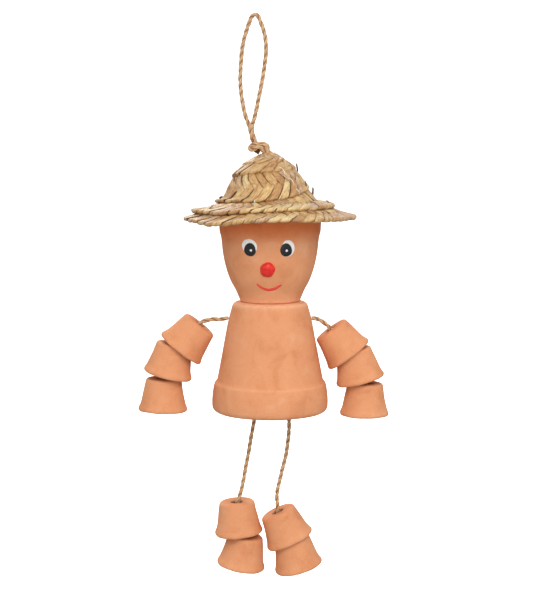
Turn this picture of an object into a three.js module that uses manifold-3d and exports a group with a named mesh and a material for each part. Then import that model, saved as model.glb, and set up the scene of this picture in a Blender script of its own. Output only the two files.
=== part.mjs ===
// A hanging pot figure: a straw hat, a bowl-shaped head and an upturned plant pot for a torso are
// threaded on one cord under a hanging loop. Small upturned pots, strung on cords and held by knots,
// make the arms and feet.
// Millimetres, +Z up. The origin is where a hook bears inside the top of the loop, the figure faces
// -Y, and left and right are the figure's own, so its right arm is on the -X side.
import * as THREE from "three";
import { mergeVertices } from "three/addons/utils/BufferGeometryUtils.js";
import Module from "manifold-3d";

// Driving dimensions
const GAP = 0.3; // between pieces that touch
const HINGE_GAP = 0.8; // where a cord's end swings against the knot or cord it goes on from
const AXIS_X = 10; // the hat, head and torso share this upright axis, a little beside the hook
const CORD_R = 1.5;
const DOUBLE_CORD_R = 2.3; // the two ends of the loop, twisted together
const STOPPER = { halfWidth: 8, halfDepth: 7, halfHeight: 4 }; // the knot under the torso's floor

const LOOP_SPREAD = CORD_R + 0.2; // half the distance between the loop's two sides where they meet
const KNOT = { x: 3, z: -87.6, halfWidth: 6.6, halfDepth: 4.6, halfHeight: 4 };

const HAT_TOP_Z = -92.2;
const HAT_HOLE_R = 3.4;
const CROWN_R = 32.2;
const BRIM_R = 59.3;
const BRIM_UNDERSIDE_Z = -130.5; // the flat ring under the brim that sits on the head

const HEAD = { rimZ: BRIM_UNDERSIDE_Z - 0.4, rimR: 35.4, bottomZ: -195.2, wall: 4.5, holeR: 4.6 };
const TORSO = {
  topZ: HEAD.bottomZ - GAP,
  height: 77.2,
  shoulderR: 27,
  waistR: 37.3, // where the cone meets the rim band
  rimR: 40.7,
  rimHeight: 20,
  wall: 4.5,
  floor: 5.5,
  holeR: 4.6,
  edge: 3,
};
const SHOULDER = { z: -207.3, holeR: 3.1, knotR: 5, knotHalf: 3.4 };
const HIP = { z: -215.4, spread: 4.4, knotR: 3.8 }; // the legs are tied under the stopper knot
const POT = { height: 23, mouthR: 17.1, baseR: 12.5, wall: 2.7, floor: 3.6, holeR: 4.2, round: 2 };
const POT_KNOT = { r: 5.7, halfHeight: 3.5 }; // wider than the pot's hole, so that it carries the pot
const NOSE = { x: -1.8, z: -171.2, backY: -31.15, r: 5.3, depth: 3.6, downTilt: 15 };

const BIG_SIDES = 32;
const SMALL_SIDES = 20;
const CORD_SIDES = 8;

// Materials
const terracotta = new THREE.MeshStandardMaterial({ color: 0xd9956b, roughness: 0.9, metalness: 0 });
const straw = new THREE.MeshStandardMaterial({ color: 0xc0a070, roughness: 0.75, metalness: 0 });
const twine = new THREE.MeshStandardMaterial({ color: 0xb88c5a, roughness: 0.85, metalness: 0 });
const redPaint = new THREE.MeshStandardMaterial({ color: 0xd8322a, roughness: 0.55, metalness: 0 });

const figure = new THREE.Group();
const degrees = THREE.MathUtils.degToRad;

function addMesh(name, geometry, material, parent = figure) {
  const mesh = new THREE.Mesh(geometry, material);
  mesh.name = name;
  parent.add(mesh);
  return mesh;
}

// Points of an arc in a profile, from angle a to angle b in degrees, both ends included.
function arc(r, z, radius, a, b, steps = 3) {
  return Array.from({ length: steps + 1 }, (_, i) => {
    const angle = degrees(a + ((b - a) * i) / steps);
    return [r + radius * Math.cos(angle), z + radius * Math.sin(angle)];
  });
}

// A ring-shaped solid about Z from a closed profile of [radius, z] pairs. The profile runs down the
// outside from the top and back up the inside.
function turned(profile, sides) {
  const closed = [...profile, profile[0]].reverse();
  const points = closed.map(([r, z]) => new THREE.Vector2(r, z));
  return new THREE.LatheGeometry(points, sides).rotateX(Math.PI / 2);
}

// A cord along a smooth curve through [x, z] points, in the plane y = 0 unless y is given too.
function cordAlong(points, radius, steps) {
  const path = new THREE.CatmullRomCurve3(
    points.map(([x, z, y = 0]) => new THREE.Vector3(x, y, z)),
    false,
    "centripetal",
  );
  const section = new THREE.Shape();
  for (let i = 0; i < CORD_SIDES; i++) {
    const angle = (2 * Math.PI * i) / CORD_SIDES;
    const corner = [radius * Math.cos(angle), radius * Math.sin(angle)];
    if (i === 0) section.moveTo(...corner);
    else section.lineTo(...corner);
  }
  return new THREE.ExtrudeGeometry(section, { steps, extrudePath: path, bevelEnabled: false });
}

function lump(halfX, halfY, halfZ, around = 8, down = 6) {
  return new THREE.SphereGeometry(1, around, down).rotateX(Math.PI / 2).scale(halfX, halfY, halfZ);
}

// Booleans
const wasm = await Module();
wasm.setup();

function toSolid(geometry) {
  const bare = geometry.index ? geometry.toNonIndexed() : geometry.clone();
  bare.deleteAttribute("normal");
  bare.deleteAttribute("uv");
  const merged = mergeVertices(bare, 1e-3);
  return new wasm.Manifold(
    new wasm.Mesh({
      numProp: 3,
      vertProperties: merged.attributes.position.array,
      triVerts: new Uint32Array(merged.index.array),
    }),
  );
}

function toGeometry(solid) {
  const mesh = solid.getMesh();
  return new THREE.BufferGeometry()
    .setAttribute("position", new THREE.BufferAttribute(new Float32Array(mesh.vertProperties), 3))
    .setIndex(new THREE.BufferAttribute(new Uint32Array(mesh.triVerts), 1));
}

// The loop's two sides meet one in front of the other and enter the knot above the hat.
function addLoop() {
  const leftSide = [
    [-2.4, -83.2, -LOOP_SPREAD],
    [-3.4, -77, -LOOP_SPREAD],
    [-7.4, -65.4, -0.6],
    [-10, -50.8],
    [-10.3, -35.3],
    [-8.4, -17.7],
    [-4.4, -4.2],
  ];
  const top = [
    [-2.2, 0.2],
    [0, CORD_R],
    [1.7, 0.1],
  ];
  const rightSide = [
    [3.4, -3.4],
    [6.3, -12],
    [7.2, -23],
    [5.7, -36],
    [2.6, -53],
    [-0.6, -67.5, 0.8],
    [-3.1, -77, LOOP_SPREAD],
    [-2.4, -83.2, LOOP_SPREAD],
  ];
  addMesh("hanging_loop", cordAlong([...leftSide, ...top, ...rightSide], CORD_R, 64), twine);
  const shape = lump(KNOT.halfWidth, KNOT.halfDepth, KNOT.halfHeight, 12, 8);
  addMesh("hanging_knot", shape, twine).position.set(KNOT.x, 0, KNOT.z);
}

// One cord runs from the knot down through the hat, head and torso to the knot that carries them.
function addMainCord() {
  const { halfWidth, halfDepth, halfHeight } = STOPPER;
  const stopperTop = TORSO.topZ - TORSO.floor - GAP;
  const start = KNOT.z - KNOT.halfHeight - HINGE_GAP;
  const path = [
    [AXIS_X, start],
    [AXIS_X, (start + stopperTop) / 2],
    [AXIS_X, stopperTop + GAP],
  ];
  addMesh("main_cord", cordAlong(path, DOUBLE_CORD_R, 4), twine);
  const shape = lump(halfWidth, halfDepth, halfHeight, 10, 8);
  const stopper = addMesh("main_stopper_knot", shape, twine);
  stopper.position.set(AXIS_X, 0, stopperTop - halfHeight);
}

function addHat() {
  const outside = [
    [HAT_HOLE_R, HAT_TOP_Z],
    [8, -93.6],
    [15, -98.6],
    [21, -104.8],
    [25.6, -111.4],
    [29.6, -119],
    [CROWN_R, -125],
    [36, -127],
    [49, -130.4],
    [49.4, -133],
    [BRIM_R, -136.6],
    [BRIM_R - 0.4, -139.4],
  ];
  const inside = [
    [37.4, BRIM_UNDERSIDE_Z],
    [29.6, BRIM_UNDERSIDE_Z],
    [29, -125.8],
    [26.4, -119.6],
    [22.6, -112.6],
    [18.4, -106.8],
    [13.2, -101.6],
    [7.4, -97],
    [HAT_HOLE_R, -95.4],
  ];
  const hat = addMesh("straw_hat", turned([...outside, ...inside], BIG_SIDES), straw);
  hat.position.x = AXIS_X;
}

function addHead() {
  const { rimZ, rimR, bottomZ, wall, holeR } = HEAD;
  const outside = [
    ...arc(rimR - 1.6, rimZ - 1.6, 1.6, 90, 0, 2),
    [rimR, -143],
    [34, -151.6],
    [33, -160.9],
    [31.3, -169.7],
    [28.1, -179.7],
    [24.1, -187.8],
    [21.2, -193.2],
    [20, bottomZ],
  ];
  const inside = [
    [holeR, bottomZ],
    [holeR, bottomZ + wall + 0.8],
    [14, bottomZ + wall + 1],
    [20.4, -184.4],
    [24.6, -176],
    [27.6, -164],
    [29.2, -150],
    [rimR - wall, -143],
    [rimR - wall, rimZ],
  ];
  const head = addMesh("head_pot", turned([...outside, ...inside], BIG_SIDES), terracotta);
  head.position.x = AXIS_X;
}

// A flattened dome with a flat back, standing just clear of the head's front.
function addNose() {
  const rounding = [
    [0, NOSE.depth],
    [NOSE.r * 0.6, NOSE.depth * 0.8],
    [NOSE.r * 0.92, NOSE.depth * 0.42],
    [NOSE.r, 0],
    [0, 0],
  ];
  const points = rounding.reverse().map(([r, z]) => new THREE.Vector2(r, z));
  const dome = new THREE.LatheGeometry(points, 14).rotateX(Math.PI / 2);
  const nose = addMesh("nose", dome, redPaint);
  nose.position.set(AXIS_X + NOSE.x, NOSE.backY, NOSE.z);
  nose.rotation.x = degrees(90 + NOSE.downTilt);
}

function addTorso() {
  const { topZ, height, shoulderR, waistR, rimR, rimHeight, wall, floor, holeR, edge } = TORSO;
  const mouthZ = topZ - height;
  const rimTopZ = mouthZ + rimHeight;
  const rimInnerR = rimR - wall - 2;
  const outside = [
    [holeR, topZ],
    ...arc(shoulderR - 4, topZ - 4, 4, 90, 8, 4),
    [waistR, rimTopZ + 1.5],
    [rimR - 1, rimTopZ - 3.5],
    [rimR, rimTopZ - 8],
    ...arc(rimR - edge, mouthZ + edge, edge, 0, -90, 3),
  ];
  const inside = [
    [rimInnerR + 1, mouthZ],
    [rimInnerR, mouthZ + 1.5],
    [rimInnerR - 0.6, rimTopZ - 3],
    [waistR - wall, rimTopZ + 1.5],
    [shoulderR - wall - 0.6, topZ - floor - 2],
    [shoulderR - wall - 2.4, topZ - floor],
    [holeR, topZ - floor],
  ];
  const body = toSolid(turned([...outside, ...inside], BIG_SIDES));
  const drill = new THREE.CylinderGeometry(SHOULDER.holeR, SHOULDER.holeR, 3 * rimR, 14)
    .rotateZ(Math.PI / 2)
    .translate(0, 0, SHOULDER.z);
  const torso = addMesh("torso_pot", toGeometry(body.subtract(toSolid(drill))), terracotta);
  torso.position.x = AXIS_X;
}

// The torso's outer radius at a height on its cone.
function torsoRadiusAt(z) {
  const coneTop = TORSO.topZ - 4;
  const coneBottom = TORSO.topZ - TORSO.height + TORSO.rimHeight + 1.5;
  return THREE.MathUtils.mapLinear(z, coneTop, coneBottom, TORSO.shoulderR, TORSO.waistR);
}

// An upturned small pot in its own frame: the hole is at the origin and the mouth faces -Z.
function potGeometry() {
  const { height, mouthR, baseR, wall, floor, holeR, round } = POT;
  const lip = wall / 2;
  const profile = [
    [holeR, 0],
    ...arc(baseR - round, -round, round, 90, 10, 2),
    ...arc(mouthR - lip, -height + lip, lip, 10, -90, 2),
    ...arc(mouthR - lip - 0.3, -height + lip, lip, -110, -160, 1),
    [baseR - wall + 0.5, -floor - 1.2],
    [baseR - wall - 0.9, -floor],
    [holeR, -floor],
  ];
  return turned(profile, SMALL_SIDES);
}

// A row of pots on one cord. Each pot is given by the place of its hole and its tilt in degrees,
// positive when its mouth leans towards -X. A knot under each hole carries the pot, and a stretch of
// cord runs from that knot into the hole of the next pot.
function addPotRow(prefix, pots) {
  const groups = pots.map(({ name, x, z, tilt }) => {
    const group = new THREE.Group();
    group.position.set(x, 0, z);
    group.rotation.y = degrees(tilt);
    figure.add(group);
    group.updateMatrixWorld();
    addMesh(`${prefix}_pot_${name}`, potGeometry(), terracotta, group);
    const knot = addMesh(
      `${prefix}_knot_${name}`,
      lump(POT_KNOT.r, POT_KNOT.r, POT_KNOT.halfHeight),
      twine,
      group,
    );
    knot.position.z = -POT.floor - GAP - POT_KNOT.halfHeight;
    return group;
  });
  const along = (group, depth) => {
    const point = group.localToWorld(new THREE.Vector3(0, 0, -depth));
    return [point.x, point.z];
  };
  const knotBottom = POT.floor + GAP + 2 * POT_KNOT.halfHeight + HINGE_GAP;
  for (let i = 0; i + 1 < groups.length; i++) {
    const path = [
      along(groups[i], knotBottom),
      along(groups[i], knotBottom + 2.5),
      along(groups[i + 1], -2.5),
      along(groups[i + 1], POT.floor / 2),
    ];
    addMesh(`${prefix}_cord_below_${pots[i].name}`, cordAlong(path, CORD_R, 8), twine);
  }
}

// side is -1 for the figure's right arm and 1 for its left.
function addArm(prefix, side, cordPoints, pots) {
  const outerX = AXIS_X + side * torsoRadiusAt(SHOULDER.z);
  const innerX = outerX - side * (TORSO.wall + 1.6);
  // The knot inside the wall, with its stub of cord out through the hole
  const stubLength = TORSO.wall + 1.2;
  const knotProfile = [
    [0, SHOULDER.knotHalf],
    [SHOULDER.knotR * 0.7, SHOULDER.knotHalf * 0.75],
    [SHOULDER.knotR, 0],
    [SHOULDER.knotR * 0.7, -SHOULDER.knotHalf * 0.75],
    [CORD_R, -SHOULDER.knotHalf],
    [CORD_R, -SHOULDER.knotHalf - stubLength],
    [0, -SHOULDER.knotHalf - stubLength],
  ];
  const points = knotProfile.reverse().map(([r, z]) => new THREE.Vector2(r, z));
  const knotShape = new THREE.LatheGeometry(points, 10).rotateZ((side * Math.PI) / 2);
  const knot = addMesh(`${prefix}_shoulder_knot`, knotShape, twine);
  knot.position.set(innerX - side * SHOULDER.knotHalf, 0, SHOULDER.z);
  addMesh(`${prefix}_arm_cord`, cordAlong(cordPoints(outerX), CORD_R, 12), twine);
  addPotRow(`${prefix}_arm`, pots);
}

function addLeg(prefix, side, cordPoints, pots) {
  const hipX = AXIS_X + side * HIP.spread;
  const knot = addMesh(`${prefix}_hip_knot`, lump(HIP.knotR, HIP.knotR, HIP.knotR), twine);
  knot.position.set(hipX, 0, HIP.z);
  const path = [[hipX, HIP.z - HIP.knotR - HINGE_GAP], ...cordPoints];
  addMesh(`${prefix}_leg_cord`, cordAlong(path, CORD_R, 28), twine);
  addPotRow(`${prefix}_foot`, pots);
}

addLoop();
addMainCord();
addHat();
addHead();
addNose();
addTorso();
addArm(
  "right",
  -1,
  (wallX) => [
    [wallX - HINGE_GAP, SHOULDER.z],
    [wallX - 6, SHOULDER.z - 1],
    [wallX - 12.5, SHOULDER.z - 1.1],
    [-38, -210.3],
    [-40, -213.1],
  ],
  [
    { name: "upper", x: -38.9, z: -211.7, tilt: 39 },
    { name: "middle", x: -57, z: -225.8, tilt: 14 },
    { name: "lower", x: -65, z: -250, tilt: 1.7 },
  ],
);
addArm(
  "left",
  1,
  (wallX) => [
    [wallX + HINGE_GAP, SHOULDER.z],
    [wallX + 5, SHOULDER.z - 0.8],
    [wallX + 9.6, SHOULDER.z - 3.6],
    [51.5, -213.9],
    [53.3, -216.5],
  ],
  [
    { name: "upper", x: 52.3, z: -215, tilt: -36 },
    { name: "middle", x: 68.3, z: -229.6, tilt: -14 },
    { name: "lower", x: 77, z: -253.2, tilt: 1.5 },
  ],
);
addLeg(
  "right",
  -1,
  [
    [2.9, -250],
    [-0.5, -275],
    [-5.6, -305],
    [-10.8, -332],
    [-13.6, -340.5],
  ],
  [
    { name: "upper", x: -13.7, z: -338.8, tilt: -3.5 },
    { name: "lower", x: -7.2, z: -363.4, tilt: 10 },
  ],
);
addLeg(
  "left",
  1,
  [
    [18.6, -245],
    [22.6, -270],
    [23.4, -287],
    [21.6, -303],
    [18, -319],
    [15, -333],
    [15.9, -347.6],
  ],
  [
    { name: "upper", x: 15.2, z: -346, tilt: -24 },
    { name: "lower", x: 25.2, z: -364.8, tilt: -14 },
  ],
);

export default figure;
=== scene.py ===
"""Looks of the hanging pot figure: terracotta pots, twisted cord, a braided straw hat, a painted face.

Shapes are worked out in millimetres and turned into metres when a mesh is made. +Z is up and the
figure faces -Y. Left and right are the figure's own.
"""

import math

import bpy
import numpy as np
from mathutils import Matrix, Vector


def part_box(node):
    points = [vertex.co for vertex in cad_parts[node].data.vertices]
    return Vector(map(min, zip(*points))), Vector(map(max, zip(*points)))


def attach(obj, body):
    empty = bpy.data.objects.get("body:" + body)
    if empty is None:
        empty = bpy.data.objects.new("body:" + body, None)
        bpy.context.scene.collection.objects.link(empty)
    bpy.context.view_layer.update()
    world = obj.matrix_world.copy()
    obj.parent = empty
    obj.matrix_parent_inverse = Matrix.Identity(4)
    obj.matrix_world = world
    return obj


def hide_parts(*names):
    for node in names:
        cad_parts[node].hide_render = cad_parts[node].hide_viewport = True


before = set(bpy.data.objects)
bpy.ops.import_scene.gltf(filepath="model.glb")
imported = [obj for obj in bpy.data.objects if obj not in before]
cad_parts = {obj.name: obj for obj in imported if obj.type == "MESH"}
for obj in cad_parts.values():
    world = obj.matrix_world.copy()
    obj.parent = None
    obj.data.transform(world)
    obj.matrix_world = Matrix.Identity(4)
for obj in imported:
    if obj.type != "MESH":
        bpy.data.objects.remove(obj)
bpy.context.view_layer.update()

MM = 0.001
TAU = 2 * math.pi
random = np.random.default_rng(11)


# Places from the frame


def box_mm(node):
    """A CAD node's lowest and highest corners, in millimetres."""
    low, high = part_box(node)
    return np.array(low) / MM, np.array(high) / MM


def middle_mm(node):
    low, high = box_mm(node)
    return (low + high) / 2


AXIS_X = middle_mm("torso_pot")[0]
HEAD_LOW, HEAD_HIGH = box_mm("head_pot")
TORSO_LOW, TORSO_HIGH = box_mm("torso_pot")


def pot_matrix(node):
    """The own frame of an upturned small pot: its hole at the origin, its mouth facing -Z."""
    points = np.array([v.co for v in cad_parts[node].data.vertices]) / MM
    base = points.mean(0)
    spread = np.linalg.svd(points - base, full_matrices=False)
    # Two of the three directions across a round pot spread alike. The axis is the odd one out.
    size = [np.std((points - base) @ direction) for direction in spread[2]]
    odd = int(np.argmax([abs(size[i] - np.median(size)) for i in range(3)]))
    axis = spread[2][odd]
    axis = axis if axis[2] > 0 else -axis
    side = np.cross([0, 1, 0], axis)
    side /= np.linalg.norm(side)
    forward = np.cross(axis, side)
    top = base + axis * ((points - base) @ axis).max()
    matrix = np.eye(4)
    matrix[:3] = np.column_stack([side, forward, axis, top])
    return matrix


def on_axis():
    """The frame that a pot threaded on the figure's upright axis is turned in."""
    matrix = np.eye(4)
    matrix[0, 3] = AXIS_X
    return matrix


# Mesh building


def even_curve(points, step, closed=False):
    """Evenly spaced points on a centripetal Catmull-Rom curve through (x, y, z) or (x, z) points."""
    p = np.array([q if len(q) == 3 else (q[0], 0, q[1]) for q in points], float)
    if closed:
        p = np.vstack([p[-1], p, p[0], p[1]])
    else:
        p = np.vstack([2 * p[0] - p[1], p, 2 * p[-1] - p[-2]])
    fine = []
    for a, b, c, d in zip(p[:-3], p[1:-2], p[2:-1], p[3:]):
        t0 = 0.0
        t1 = t0 + np.linalg.norm(b - a) ** 0.5
        t2 = t1 + np.linalg.norm(c - b) ** 0.5
        t3 = t2 + np.linalg.norm(d - c) ** 0.5
        t = np.linspace(t1, t2, 25)[:-1, None]
        a1 = (t1 - t) / (t1 - t0) * a + (t - t0) / (t1 - t0) * b
        a2 = (t2 - t) / (t2 - t1) * b + (t - t1) / (t2 - t1) * c
        a3 = (t3 - t) / (t3 - t2) * c + (t - t2) / (t3 - t2) * d
        b1 = (t2 - t) / (t2 - t0) * a1 + (t - t0) / (t2 - t0) * a2
        b2 = (t3 - t) / (t3 - t1) * a2 + (t - t1) / (t3 - t1) * a3
        fine.append((t2 - t) / (t2 - t1) * b1 + (t - t1) / (t2 - t1) * b2)
    fine = np.vstack([*fine, p[-2][None]])
    length = distances(fine)
    count = max(3, int(round(length[-1] / step)) + 1)
    even = np.linspace(0, length[-1], count)
    return np.column_stack([np.interp(even, length, fine[:, i]) for i in range(3)])


def distances(path):
    """The distance of each point of a path from its start."""
    return np.concatenate([[0], np.cumsum(np.linalg.norm(np.diff(path, axis=0), axis=1))])


def tangents(path):
    tangent = np.gradient(path, axis=0)
    return tangent / np.linalg.norm(tangent, axis=1)[:, None]


def smoothed(values, count):
    """A running mean that keeps the ends of a slope where they are."""
    padded = np.pad(values, count // 2, "reflect", reflect_type="odd")
    return np.convolve(padded, np.ones(count) / count, "valid")


def path_frames(path):
    """Two steady directions across a path, and the distance along it."""
    tangent = tangents(path)
    across = np.cross(tangent[0], [0.3, 1.0, 0.1])
    normals = []
    for t in tangent:
        across = across - np.dot(across, t) * t
        across = across / np.linalg.norm(across)
        normals.append(across)
    normals = np.array(normals)
    return normals, np.cross(tangent, normals), distances(path)


def in_scene(name, data):
    thing = bpy.data.objects.new(name, data)
    bpy.context.scene.collection.objects.link(thing)
    return thing


class Shape:
    """Vertices, faces, UVs in centimetres, and a tone and an edge value for each vertex of one mesh."""

    def __init__(self):
        self.points, self.faces, self.uvs, self.count = [], [], [], 0
        self.values = {"tone": [], "edge": []}

    def grid(self, rings, along, caps=True, tone=0.5, edge=0.0):
        """Joins rings of points, shaped (rings, points in a ring, 3), into a surface."""
        n, k = rings.shape[:2]
        index = self.count + np.arange(n * k).reshape(n, k)
        width = np.linalg.norm(np.diff(rings[n // 2], axis=0), axis=1).mean()
        u = along / 10
        for j in range(k):
            m = (j + 1) % k
            a, b = index[:-1, j], index[1:, j]
            d, c = index[:-1, m], index[1:, m]
            self.faces += np.column_stack([a, b, c, d]).tolist()
            v0, v1 = j * width / 10, (j + 1) * width / 10
            corners = ((u[:-1], v0), (u[1:], v0), (u[1:], v1), (u[:-1], v1))
            uv = np.stack([np.column_stack([at, np.full(n - 1, v)]) for at, v in corners], axis=1)
            self.uvs += uv.reshape(-1, 2).tolist()
        if caps:
            for ring in (index[0][::-1], index[-1]):
                self.faces.append(ring.tolist())
                self.uvs += [[0.0, i * width / 10] for i in range(k)]
        self.points.append(rings.reshape(-1, 3))
        for name, value in (("tone", tone), ("edge", edge)):
            value = np.asarray(value, float)
            value = value if value.ndim == 2 else value.reshape(-1, 1)
            self.values[name].append(np.broadcast_to(value, (n, k)).ravel())
        self.count += n * k
        return self

    def to_object(self, name, material, matrix=None):
        mesh = bpy.data.meshes.new(name)
        mesh.from_pydata((np.vstack(self.points) * MM).tolist(), [], self.faces)
        layer = mesh.uv_layers.new(name="UVMap")
        layer.data.foreach_set("uv", np.array(self.uvs, np.float32).ravel())
        for name_of_value, parts in self.values.items():
            attribute = mesh.attributes.new(name_of_value, "FLOAT", "POINT")
            attribute.data.foreach_set("value", np.concatenate(parts).astype(np.float32))
        mesh.shade_smooth()
        mesh.materials.append(material)
        piece = in_scene(name, mesh)
        if matrix is not None:
            placed = matrix.copy()
            placed[:3, 3] *= MM
            piece.matrix_world = Matrix(placed.tolist())
        return piece


def place(piece, body, slot, *nodes):
    """The piece moves with a body and stands for CAD nodes, which are hidden. The slot is not used."""
    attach(piece, body)
    if nodes:
        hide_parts(*nodes)
    return piece


def oval(half_width, half_height, count=10, ridges=0.0, phase=0.0):
    angle = np.arange(count) * TAU / count
    swell = 1 + ridges * np.cos(4 * angle + phase)
    return np.column_stack([half_width * np.cos(angle) * swell, half_height * np.sin(angle) * swell])


def sweep(shape, path, section, tone=0.5, normals=None, scale=None):
    """A tube of the given section along a path."""
    first, second, along = path_frames(path)
    if normals is not None:
        first, second = normals
    size = np.ones(len(path)) if scale is None else scale
    rings = (
        path[:, None, :]
        + section[None, :, :1] * first[:, None, :] * size[:, None, None]
        + section[None, :, 1:] * second[:, None, :] * size[:, None, None]
    )
    return shape.grid(rings, along, tone=tone)


# Materials


class Nodes:
    """Short calls for the shader nodes that the materials use."""

    def __init__(self, name, roughness):
        self.material = bpy.data.materials.new(name)
        self.material.use_nodes = True
        self.tree = self.material.node_tree
        self.shader = self.tree.nodes["Principled BSDF"]
        self.set("Roughness", roughness)
        where = self.add("TexCoord")
        self.here, self.along = where.outputs["Object"], where.outputs["UV"]

    def feed(self, value, target):
        """Sets a number or a colour on a socket, or links another node's output to it."""
        if isinstance(value, (int, float)):
            target.default_value = value
        elif isinstance(value, tuple):
            target.default_value = (*value, 1)
        else:
            self.tree.links.new(value, target)

    def set(self, name, value):
        """Sets or links an input of the surface itself."""
        self.feed(value, self.shader.inputs[name])

    def add(self, kind, **inputs):
        """A new node, with each input that is named set or linked."""
        node = self.tree.nodes.new(f"ShaderNode{kind}")
        for name, value in inputs.items():
            self.feed(value, node.inputs[name])
        return node

    def scaled(self, source, scale):
        node = self.add("Mapping", Vector=source)
        node.inputs["Scale"].default_value = scale
        return node.outputs["Vector"]

    def noise(self, vector, scale, detail=4.0, rough=0.55, distort=0.0):
        node = self.add("TexNoise", Vector=vector, Scale=scale, Detail=detail)
        node.inputs["Roughness"].default_value = rough
        node.inputs["Distortion"].default_value = distort
        return node.outputs["Fac"]

    def wave(self, vector, scale, distort, detail):
        node = self.add("TexWave", Vector=vector, Scale=scale, Distortion=distort, Detail=detail)
        node.bands_direction = "Z"
        return node.outputs["Fac"]

    def ramp(self, source, *stops, smooth=True):
        node = self.add("ValToRGB", Fac=source)
        node.color_ramp.interpolation = "EASE" if smooth else "CONSTANT"
        while len(node.color_ramp.elements) < len(stops):
            node.color_ramp.elements.new(0.5)
        for element, (position, colour) in zip(node.color_ramp.elements, stops):
            element.position = position
            element.color = (*colour, 1)
        return node.outputs["Color"]

    def mix(self, amount, first, second, mode="MIX"):
        node = self.add("Mix")
        node.data_type = "RGBA"
        node.blend_type = mode
        for value, socket in ((amount, "Factor"), (first, "A"), (second, "B")):
            self.feed(value, next(s for s in node.inputs if s.name == socket and s.enabled))
        return next(s for s in node.outputs if s.enabled)

    def maths(self, operation, first, second=0.0):
        node = self.add("Math")
        node.operation = operation
        self.feed(first, node.inputs[0])
        self.feed(second, node.inputs[1])
        return node.outputs[0]

    def part(self, vector, axis):
        return self.add("SeparateXYZ", Vector=vector).outputs[axis]

    def attribute(self, name):
        node = self.add("Attribute")
        node.attribute_name = name
        return node.outputs["Fac"]

    def bump(self, height, distance, strength=1.0, under=None):
        node = self.add("Bump", Height=height, Distance=distance, Strength=strength)
        if under is not None:
            self.feed(under, node.inputs["Normal"])
        self.set("Normal", node.outputs["Normal"])
        return node.outputs["Normal"]


def srgb(*colour):
    """A colour given as it looks on a screen, 0 to 255, as the linear values that nodes take."""
    return tuple(((value / 255 + 0.055) / 1.055) ** 2.4 for value in colour)


def terracotta_material(name, brim_shade_top=None):
    """Unglazed clay: matte, mottled, with a fine grain and the faint rings of the forming tool.

    The second argument is the height, in metres, round which the head's top is painted a deeper red:
    painted shade under the hat's brim, which fades out below it.
    """
    n = Nodes(name, 0.88)
    n.set("Specular IOR Level", 0.25)
    clay = n.ramp(
        n.noise(n.here, 55, 5, 0.6, 0.4),
        (0.3, srgb(215, 139, 92)),
        (0.52, srgb(228, 155, 108)),
        (0.75, srgb(233, 170, 128)),
    )
    streaks = n.noise(n.scaled(n.here, (1, 1, 0.12)), 160, 3)
    clay = n.mix(n.maths("MULTIPLY", streaks, 0.28), clay, srgb(238, 172, 132))
    specks = n.ramp(n.noise(n.here, 1500, 2, 0.7), (0.34, srgb(178, 104, 66)), (0.44, (1, 1, 1)))
    clay = n.mix(0.16, clay, specks, "MULTIPLY")
    dust = n.ramp(n.noise(n.here, 2100, 2), (0.64, (0, 0, 0)), (0.74, (1, 1, 1)))
    clay = n.mix(n.maths("MULTIPLY", dust, 0.25), clay, srgb(246, 205, 172))
    # Painted light, and lighter rims: the clay goes lighter at the places given to each pot
    painted_light_and_wear = n.maths("MULTIPLY", n.attribute("tone"), n.noise(n.here, 300, 4))
    clay = n.mix(n.maths("MULTIPLY", painted_light_and_wear, 1.3), clay, srgb(244, 188, 148))
    # Painted shade: the clay goes dark brown down inside the holes
    clay = n.mix(n.attribute("edge"), clay, srgb(112, 54, 30))
    # Painted shade under the hat's brim: the head's top is a deeper red, fading out between 2 and 18 mm
    # below the given height
    if brim_shade_top is not None:
        height = n.maths("SUBTRACT", brim_shade_top, n.part(n.here, "Z"))
        brim_shade_band = n.ramp(n.maths("MULTIPLY", height, 50), (0.1, srgb(255, 212, 178)), (0.9, (1, 1, 1)))
        clay = n.mix(1.0, clay, brim_shade_band, "MULTIPLY")
    n.set("Base Color", clay)
    rings = n.wave(n.here, 260, 1.6, 3)
    surface = n.bump(rings, 0.00006, 0.35)
    surface = n.bump(n.noise(n.here, 420, 3), 0.0002, 0.5, surface)
    n.bump(n.noise(n.here, 2600, 4, 0.65), 0.00007, 0.45, surface)
    return n.material


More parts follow.
